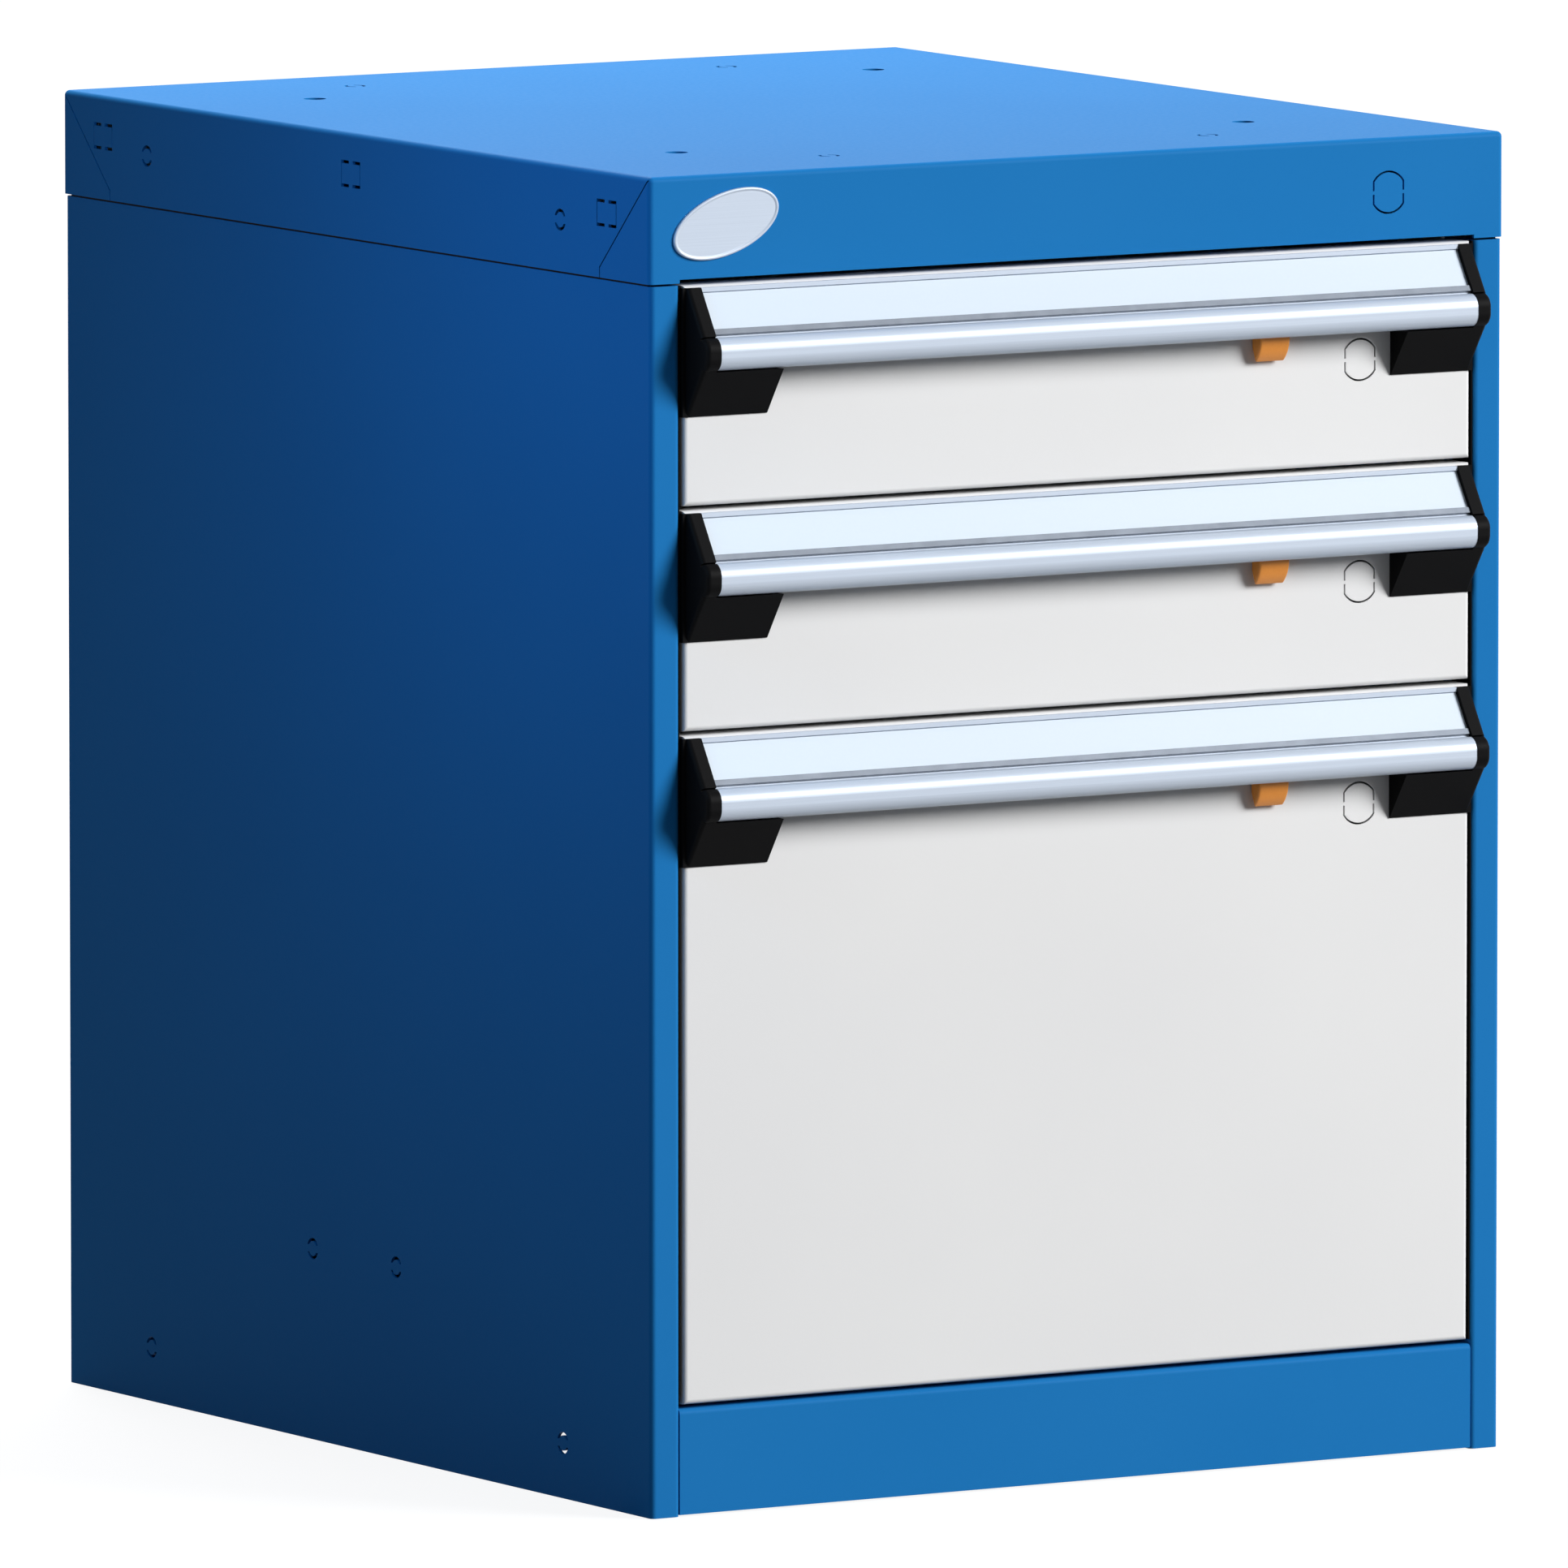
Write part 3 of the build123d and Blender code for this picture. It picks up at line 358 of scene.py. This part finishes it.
def buildGapShadeStrip(side):
    low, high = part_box("bottom_drawer_front")
    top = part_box("top_drawer_front")[1].z
    edge, inward = (low.x, 1) if side == "left" else (high.x, -1)
    outer = edge - inward * gapShadeStrip["gapMm"] * mm
    inner = outer + inward * gapShadeStrip["thicknessMm"] * mm
    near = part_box(f"side_panel_{side}")[0].y + gapShadeStrip["setBackMm"] * mm
    far = near + gapShadeStrip["depthMm"] * mm
    buildStrip(f"{side}GapShadeStrip", (outer, inner), (near, far), (low.z, top))


for side in ("left", "right"):
    buildSeamShadeStrip(side)
print("seam strips done")
for side in ("left", "right"):
    buildGapShadeStrip(side)
print("dust strips done")

# Grey strip drawn as a spring clip for the label card, lying on the lip below the card and hooking into the
# groove: painted shade, a darkened sheet that stands for the groove's shadow band.
labelGrooveShade = {
    "overCardMm": 0.4,
    "lipFromCardMm": 0.2,
    "lipMm": 2.0,
    "lipAboveCardMm": 0.7,
    "sheetMm": 0.25,
    "hookMm": 1.3,
}


def buildLabelGrooveShade(drawer):
    card = nodes[f"{drawer}_label_strip"].data
    corners = [vertex.co for vertex in card.vertices]
    left, right = min(c.x for c in corners), max(c.x for c in corners)
    top, foot = max(corners, key=lambda c: c.z), min(corners, key=lambda c: c.y)
    down = Vector((0, foot.y - top.y, foot.z - top.z)).normalized()
    out = down.cross(Vector((1, 0, 0)))
    lipEnd = labelGrooveShade["lipFromCardMm"] + labelGrooveShade["lipMm"]
    seat, sheet = labelGrooveShade["lipAboveCardMm"], labelGrooveShade["sheetMm"]
    bend = sheet / 2
    # distance below the card's lower edge and height above the card, round the section
    section = [(-labelGrooveShade["overCardMm"], seat), (-labelGrooveShade["overCardMm"], seat + sheet),
               (lipEnd + bend, seat + sheet), (lipEnd + sheet, seat + bend),
               (lipEnd + sheet, seat - labelGrooveShade["hookMm"]), (lipEnd, seat - labelGrooveShade["hookMm"]),
               (lipEnd, seat)]
    rings = []
    for x in (left, right):
        start = Vector((x, foot.y, foot.z))
        rings.append([start + (down * along + out * height) * mm for along, height in section])
    mesh = loftedMesh(f"{drawer}LabelGrooveShade", rings, False)
    finishedPiece(f"{drawer}LabelGrooveShade", mesh, f"{drawer}_drawer", "spring_steel")


for drawer in drawers:
    buildLabelGrooveShade(drawer)
print("label clips done")

# Wave spring behind each drawer front: a strip bent in even waves, which the latch bolt presses
# together.
waveSpring = {"waves": 3, "stripMm": 0.5, "stepsPerWave": 36}


def buildWaveSpring(drawer):
    node, joint = f"{drawer}_latch_spring", f"{drawer}_latch_slide"
    low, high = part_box(node)
    half = waveSpring["stripMm"] * mm / 2
    length, middleZ = high.x - low.x, (low.z + high.z) / 2
    swing = (high.z - low.z) / 2 - half
    steps = waveSpring["waves"] * waveSpring["stepsPerWave"]
    rings = []
    for i in range(steps + 1):
        turn = 2 * math.pi * waveSpring["waves"] * i / steps
        slope = -swing * math.sin(turn) * 2 * math.pi * waveSpring["waves"] / length
        spot = Vector((low.x + length * i / steps, 0, middleZ + swing * math.cos(turn)))
        side = Vector((-slope, 0, 1)).normalized() * half
        front, rear = Vector((0, low.y, 0)), Vector((0, high.y, 0))
        rings.append([spot + side + front, spot + side + rear, spot - side + rear, spot - side + front])
    mesh = loftedMesh(f"{drawer}WaveSpring", rings, False)
    piece = finishedPiece(f"{drawer}WaveSpring", mesh, f"{drawer}_drawer", "spring_steel")
    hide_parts(node)
    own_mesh(piece)


for drawer in drawers:
    buildWaveSpring(drawer)
print("wave springs done")

# Rivets that hold the runners to the tray and the tray to its front: heads on points, one mesh for
# each drawer.
trayRivets = {
    "headRadiusMm": 4.0,
    "headHeightMm": 1.1,
    "headSides": 24,
    "crownShare": 0.7,  # of the head's radius
    "pinShare": 0.3,  # of the head's radius
    "pinRise": 1.3,  # of the head's height
    "pinSides": 16,
    "endMarginMm": 40.0,
    "perRunner": 6,
    "frontInsetMm": 6.5,
    "frontMarginMm": 16.0,
    "frontPitchMm": 55.0,
    "wallMm": 1.2,
}


def rivetTree():
    tree = bpy.data.node_groups.new("rivetHeads", "GeometryNodeTree")
    tree.interface.new_socket("Points", in_out="INPUT", socket_type="NodeSocketGeometry")
    tree.interface.new_socket("Head Radius", in_out="INPUT", socket_type="NodeSocketFloat")
    tree.interface.new_socket("Head Height", in_out="INPUT", socket_type="NodeSocketFloat")
    tree.interface.new_socket("Finish", in_out="INPUT", socket_type="NodeSocketMaterial")
    tree.interface.new_socket("Rivets", in_out="OUTPUT", socket_type="NodeSocketGeometry")
    given = addNode(tree, "NodeGroupInput")
    crown = addNode(tree, "ShaderNodeMath", {"operation": "MULTIPLY"}, {
        0: given.outputs["Head Radius"], 1: trayRivets["crownShare"]})
    pinRadius = addNode(tree, "ShaderNodeMath", {"operation": "MULTIPLY"}, {
        0: given.outputs["Head Radius"], 1: trayRivets["pinShare"]})
    pinHeight = addNode(tree, "ShaderNodeMath", {"operation": "MULTIPLY"}, {
        0: given.outputs["Head Height"], 1: trayRivets["pinRise"]})
    flange = addNode(tree, "GeometryNodeMeshCone", inputs={
        "Vertices": trayRivets["headSides"], "Radius Top": crown.outputs[0],
        "Radius Bottom": given.outputs["Head Radius"], "Depth": given.outputs["Head Height"]})
    pin = addNode(tree, "GeometryNodeMeshCone", inputs={
        "Vertices": trayRivets["pinSides"], "Radius Top": pinRadius.outputs[0],
        "Radius Bottom": pinRadius.outputs[0], "Depth": pinHeight.outputs[0]})
    head = addNode(tree, "GeometryNodeJoinGeometry")
    tree.links.new(flange.outputs["Mesh"], head.inputs[0])
    tree.links.new(pin.outputs["Mesh"], head.inputs[0])
    facing = addNode(tree, "GeometryNodeInputNamedAttribute", {"data_type": "FLOAT_VECTOR"}, {
        "Name": "facing"})
    turn = addNode(tree, "FunctionNodeAlignEulerToVector", {"axis": "Z"}, {"Vector": facing.outputs[0]})
    spread = addNode(tree, "GeometryNodeInstanceOnPoints", inputs={
        "Points": given.outputs["Points"], "Instance": head.outputs[0], "Rotation": turn.outputs[0]})
    real = addNode(tree, "GeometryNodeRealizeInstances", inputs={"Geometry": spread.outputs[0]})
    finish = addNode(tree, "GeometryNodeSetMaterial", inputs={
        "Geometry": real.outputs[0], "Material": given.outputs["Finish"]})
    addNode(tree, "NodeGroupOutput", inputs={"Rivets": finish.outputs[0]})
    return tree


def socketId(tree, name):
    return next(item.identifier for item in tree.interface.items_tree
                if item.name == name and item.in_out == "INPUT")


def meshFromPoints(name, points, facings, tree, values):
    # the tree's result on these points, as a plain mesh
    mesh = bpy.data.meshes.new(name + "Points")
    mesh.from_pydata(points, [], [])
    facing = mesh.attributes.new("facing", "FLOAT_VECTOR", "POINT")
    for i, direction in enumerate(facings):
        facing.data[i].vector = direction
    carrier = bpy.data.objects.new(name + "Points", mesh)
    bpy.context.scene.collection.objects.link(carrier)
    modifier = carrier.modifiers.new(name, "NODES")
    modifier.node_group = tree
    for socket, value in values.items():
        modifier[socketId(tree, socket)] = value
    bpy.context.view_layer.update()
    evaluated = carrier.evaluated_get(bpy.context.evaluated_depsgraph_get())
    result = bpy.data.meshes.new_from_object(evaluated)
    result.name = name
    bpy.data.objects.remove(carrier)
    return result


def trayHalfWidth(drawer):
    # the runners' inner faces lie on the tray's sides
    runners = nodes[f"{drawer}_runners"].data
    return min(abs(v.co.x) for v in runners.vertices)


def buildTrayRivets():
    tree = rivetTree()
    wall = trayRivets["wallMm"] * mm
    for drawer in drawers:
        low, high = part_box(f"{drawer}_tray")
        runnerLow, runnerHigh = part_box(f"{drawer}_runners")
        trayHalf = trayHalfWidth(drawer)
        runnerZ = (runnerLow.z + runnerHigh.z) / 2
        points, facings = [], []
        span = high.y - low.y - 2 * trayRivets["endMarginMm"] * mm
        for side in (-1, 1):
            for i in range(trayRivets["perRunner"]):
                y = low.y + trayRivets["endMarginMm"] * mm + span * i / (trayRivets["perRunner"] - 1)
                points.append((side * (trayHalf - wall), y, runnerZ))
                facings.append((-side, 0, 0))
            x = side * (trayHalf - wall - trayRivets["frontInsetMm"] * mm)
            rise = high.z - low.z - 2 * trayRivets["frontMarginMm"] * mm
            count = 1 + round(rise / (trayRivets["frontPitchMm"] * mm))
            for i in range(count):
                z = low.z + trayRivets["frontMarginMm"] * mm + rise * i / max(1, count - 1)
                points.append((x, low.y + wall, z))
                facings.append((0, 1, 0))
        mesh = meshFromPoints(f"{drawer}TrayRivets", points, facings, tree, {
            "Head Radius": trayRivets["headRadiusMm"] * mm,
            "Head Height": trayRivets["headHeightMm"] * mm,
            "Finish": finishes["zinc_plated_steel"]})
        finishedPiece(f"{drawer}TrayRivets", mesh, f"{drawer}_drawer", "zinc_plated_steel")


buildTrayRivets()
print("tray rivets done")

# Camera: solved on the cabinet's corners in the photograph.
view = {
    "azimuthDeg": -31.24,
    "elevationDeg": 6.53,
    "distanceM": 11.943,
    "lensMm": 590.1,
    "bodyCentreM": (0.0, 0.010, 0.3048),
    "sideMm": 3.4,  # how far the picture's middle lies beside and below the cabinet's middle
    "downMm": 9.35,
    "sensorMm": 36,
    "clipEndM": 200,
}
azimuth, elevation = math.radians(view["azimuthDeg"]), math.radians(view["elevationDeg"])
back = Vector((math.sin(azimuth) * math.cos(elevation), -math.cos(azimuth) * math.cos(elevation),
               math.sin(elevation)))
right = Vector((math.cos(azimuth), math.sin(azimuth), 0))
up = back.cross(right)
middle = Vector(view["bodyCentreM"]) + right * view["sideMm"] * mm - up * view["downMm"] * mm
cameraData = bpy.data.cameras.new("camera")
cameraData.lens = view["lensMm"]
cameraData.sensor_width = view["sensorMm"]
cameraData.clip_end = view["clipEndM"]
camera = bpy.data.objects.new("camera", cameraData)
camera.matrix_world = Matrix.Translation(middle + back * view["distanceM"]) @ Matrix(
    (right, up, back)).transposed().to_4x4()
bpy.context.scene.collection.objects.link(camera)
bpy.context.scene.camera = camera

# Soft studio light: a broad key at the right front, a light from above and behind for the top and
# the back, and a small bluish fill at the left front corner that fades along the side.
lamps = {
    "key": {"place": (5.58, -6.37, 3.95), "aim": (0, -0.25, 0.35), "size": 4.4, "watts": 1112,
            "colour": "#FFFFFF"},
    "topRear": {"place": (0.17, 1.08, 2.12), "aim": (0, 0.05, 0.6), "size": 1.0, "watts": 47,
                "colour": "#FFFFFF"},
    "cornerFill": {"place": (-0.67, -0.27, 0.7), "aim": (-0.2, -0.1, 0.45), "size": 0.3, "watts": 1.15,
                   "colour": "#84C8FF"},
}
for name, lamp in lamps.items():
    data = bpy.data.lights.new(name, "AREA")
    data.shape = "DISK"
    data.size = lamp["size"]
    data.energy = lamp["watts"]
    data.color = linearColour(lamp["colour"])[:3]
    light = bpy.data.objects.new(name, data)
    light.location = lamp["place"]
    away = Vector(lamp["place"]) - Vector(lamp["aim"])
    light.rotation_euler = away.to_track_quat("Z", "Y").to_euler()
    bpy.context.scene.collection.objects.link(light)

# White surroundings for the camera and for reflections, and a low plain light for the rest.
ambient = {
    "strength": 0.1,
    "floorShare": 0.15,
    "floorGlow": 0.9,  # near the cabinet, so that its shadow shows
    "shadowM": 0.7,  # from here the glow rises to full white
    "whiteM": 2.4,
    "floorHalfM": 16,
    "floorDropMm": 0.3,
}
world = bpy.data.worlds.new("studio")
bpy.context.scene.world = world
world.use_nodes = True
world.node_tree.nodes.clear()


def seenDirectly(tree):
    # 1 for camera, glossy and transmission rays
    path = addNode(tree, "ShaderNodeLightPath")
    first = addNode(tree, "ShaderNodeMath", {"operation": "MAXIMUM"}, {
        0: path.outputs["Is Camera Ray"], 1: path.outputs["Is Glossy Ray"]})
    return addNode(tree, "ShaderNodeMath", {"operation": "MAXIMUM"}, {
        0: first.outputs[0], 1: path.outputs["Is Transmission Ray"]}).outputs[0]


strength = addNode(world.node_tree, "ShaderNodeMapRange", inputs={
    "Value": seenDirectly(world.node_tree), "To Min": ambient["strength"], "To Max": 1.0})
sky = addNode(world.node_tree, "ShaderNodeBackground", inputs={
    "Color": [1, 1, 1, 1], "Strength": strength.outputs[0]})
addNode(world.node_tree, "ShaderNodeOutputWorld", inputs={"Surface": sky.outputs[0]})

floorMaterial, floorTree = startMaterial("paleFloor")
place = addNode(floorTree, "ShaderNodeTexCoord")
distance = addNode(floorTree, "ShaderNodeVectorMath", {"operation": "LENGTH"}, {
    0: place.outputs["Object"]})
level = addNode(floorTree, "ShaderNodeMapRange", {"interpolation_type": "SMOOTHSTEP"}, {
    "Value": distance.outputs["Value"], "From Min": ambient["shadowM"], "From Max": ambient["whiteM"],
    "To Min": ambient["floorGlow"], "To Max": 1.0})
glow = addNode(floorTree, "ShaderNodeMath", {"operation": "MULTIPLY"}, {
    0: seenDirectly(floorTree), 1: level.outputs[0]})
matt = addNode(floorTree, "ShaderNodeBsdfDiffuse", inputs={"Color": [ambient["floorShare"]] * 3 + [1]})
shine = addNode(floorTree, "ShaderNodeEmission", inputs={
    "Color": [1, 1, 1, 1], "Strength": glow.outputs[0]})
floorShader = addNode(floorTree, "ShaderNodeAddShader", inputs={0: matt.outputs[0], 1: shine.outputs[0]})
endMaterial(floorTree, floorShader)
floorHalf = ambient["floorHalfM"]
floorZ = -ambient["floorDropMm"] * mm
floorCorners = [(x * floorHalf, y * floorHalf, floorZ) for x, y in ((-1, -1), (1, -1), (1, 1), (-1, 1))]
floorMesh = bpy.data.meshes.new("floor")
floorMesh.from_pydata(floorCorners, [], [(0, 1, 2, 3)])
floorMesh.materials.append(floorMaterial)
floor = bpy.data.objects.new("floor", floorMesh)
bpy.context.scene.collection.objects.link(floor)
bpy.context.scene.view_settings.view_transform = "Standard"
print("camera, light and floor done")
